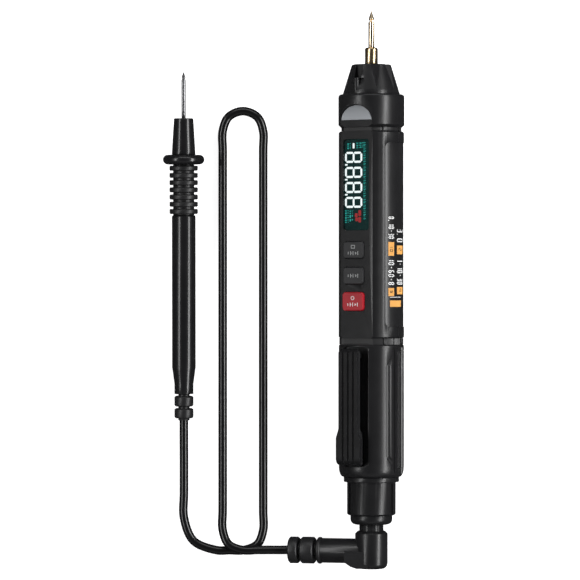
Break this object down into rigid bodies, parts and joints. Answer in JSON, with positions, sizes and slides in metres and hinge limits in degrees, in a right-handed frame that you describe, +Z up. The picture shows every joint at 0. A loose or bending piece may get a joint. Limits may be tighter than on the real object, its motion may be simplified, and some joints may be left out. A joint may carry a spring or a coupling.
{
  "type": "pen multimeter",
  "caption": "Pen-shaped digital multimeter with needle tip, display, keys and pocket clip, and an angled plug lead to a hand-held needle probe.",
  "frame": {"origin": "centre of the bounding box's base of the pen and the lead probe, on the surface they lie on; the cord and the angled plug are left out of it", "axes": "+Y along the pen towards its needle, +Z up from the surface, +X to the right of the pen seen from above with its needle away from the viewer; the pen's face is rolled 34.5 degrees from +Z towards -X"},
  "size_m": [0.0936, 0.2162, 0.0295],
  "materials": {
    "gilt_needle": "polished gilt",
    "brass_ferrule": "turned satin gilt",
    "brass_strip": "plain sheet",
    "copper_foil": "thin foil",
    "housing_black": "satin moulded",
    "ring_black": "satin moulded",
    "clip_black": "semi-gloss moulded",
    "grey_window": "frosted translucent grey",
    "clear_lens": "clear dome",
    "display_lens": "clear flat",
    "lcd_dark": "dark teal display",
    "white_plastic": "plain",
    "board_green": "coated board",
    "chip_black": "plain",
    "switch_steel": "sheet",
    "key_black": "soft satin",
    "key_red": "soft satin",
    "label_black": "satin film",
    "cell_jacket": "plain printed sleeve",
    "spring_steel": "nickel plated",
    "plug_black": "satin moulded",
    "nickel_pin": "polished nickel",
    "soft_black": "satin soft",
    "cord_black": "glossy soft",
    "steel_needle": "bright",
    "handle_black": "semi-gloss moulded"
  },
  "bodies": {
    "pen": {"probe_needle": "gilt_needle", "needle_ferrule": "brass_ferrule", "needle_terminal": "brass_strip", "nose_cone": "housing_black", "torch_led": "clear_lens", "front_collar": "housing_black", "indicator_window": "grey_window", "indicator_led": "clear_lens", "ncv_antenna": "copper_foil", "front_ring": "ring_black", "front_shell": "housing_black", "back_shell": "housing_black", "display_window": "display_lens", "lcd_glass": "lcd_dark", "backlight": "white_plastic", "circuit_board": "board_green", "board_chips": "chip_black", "buzzer": "chip_black", "tact_switches": "switch_steel", "label_overlay": "label_black", "rear_ring": "ring_black", "rear_barrel": "housing_black", "battery_1": "cell_jacket", "battery_2": "cell_jacket", "battery_springs": "spring_steel", "contact_plates": "spring_steel", "return_strip": "brass_strip", "tail_cap": "housing_black", "jack_nut": "housing_black", "jack_socket": "brass_strip"},
    "mode_key": {"mode_button": "key_black"},
    "hold_key": {"hold_button": "key_black"},
    "power_key": {"power_button": "key_red"},
    "clip": {"pocket_clip": "clip_black"},
    "cover": {"battery_cover": "housing_black"},
    "lead": {"plug_body": "plug_black", "plug_pin": "nickel_pin", "plug_boot": "soft_black", "lead_cord": "cord_black", "lead_needle": "steel_needle", "probe_nose": "handle_black", "finger_guard": "handle_black", "grip_sleeve": "soft_black", "probe_handle": "handle_black", "probe_boot": "soft_black"}
  },
  "joints": [
    {"name": "mode_press", "type": "slide", "parent": "pen", "child": "mode_key", "axis": [0.5664, 0, -0.8241], "range_m": [0, 0.0006], "stiffness_N_per_m": 500},
    {"name": "hold_press", "type": "slide", "parent": "pen", "child": "hold_key", "axis": [0.5664, 0, -0.8241], "range_m": [0, 0.0006], "stiffness_N_per_m": 500},
    {"name": "power_press", "type": "slide", "parent": "pen", "child": "power_key", "axis": [0.5664, 0, -0.8241], "range_m": [0, 0.0006], "stiffness_N_per_m": 500},
    {"name": "clip_bend", "type": "hinge", "parent": "pen", "child": "clip", "pos_m": [0.02935, -0.07029, 0.01959], "axis": [0.8241, 0, 0.5664], "range_deg": [0, 5], "stiffness_Nm_per_rad": 1.5},
    {"name": "cover_lift", "type": "slide", "parent": "pen", "child": "cover", "axis": [0.5664, 0, -0.8241], "range_m": [0, 0.015]},
    {"name": "plug_pull", "type": "slide", "parent": "pen", "child": "lead", "axis": [0, -1, 0], "range_m": [0, 0.022]}
  ]
}
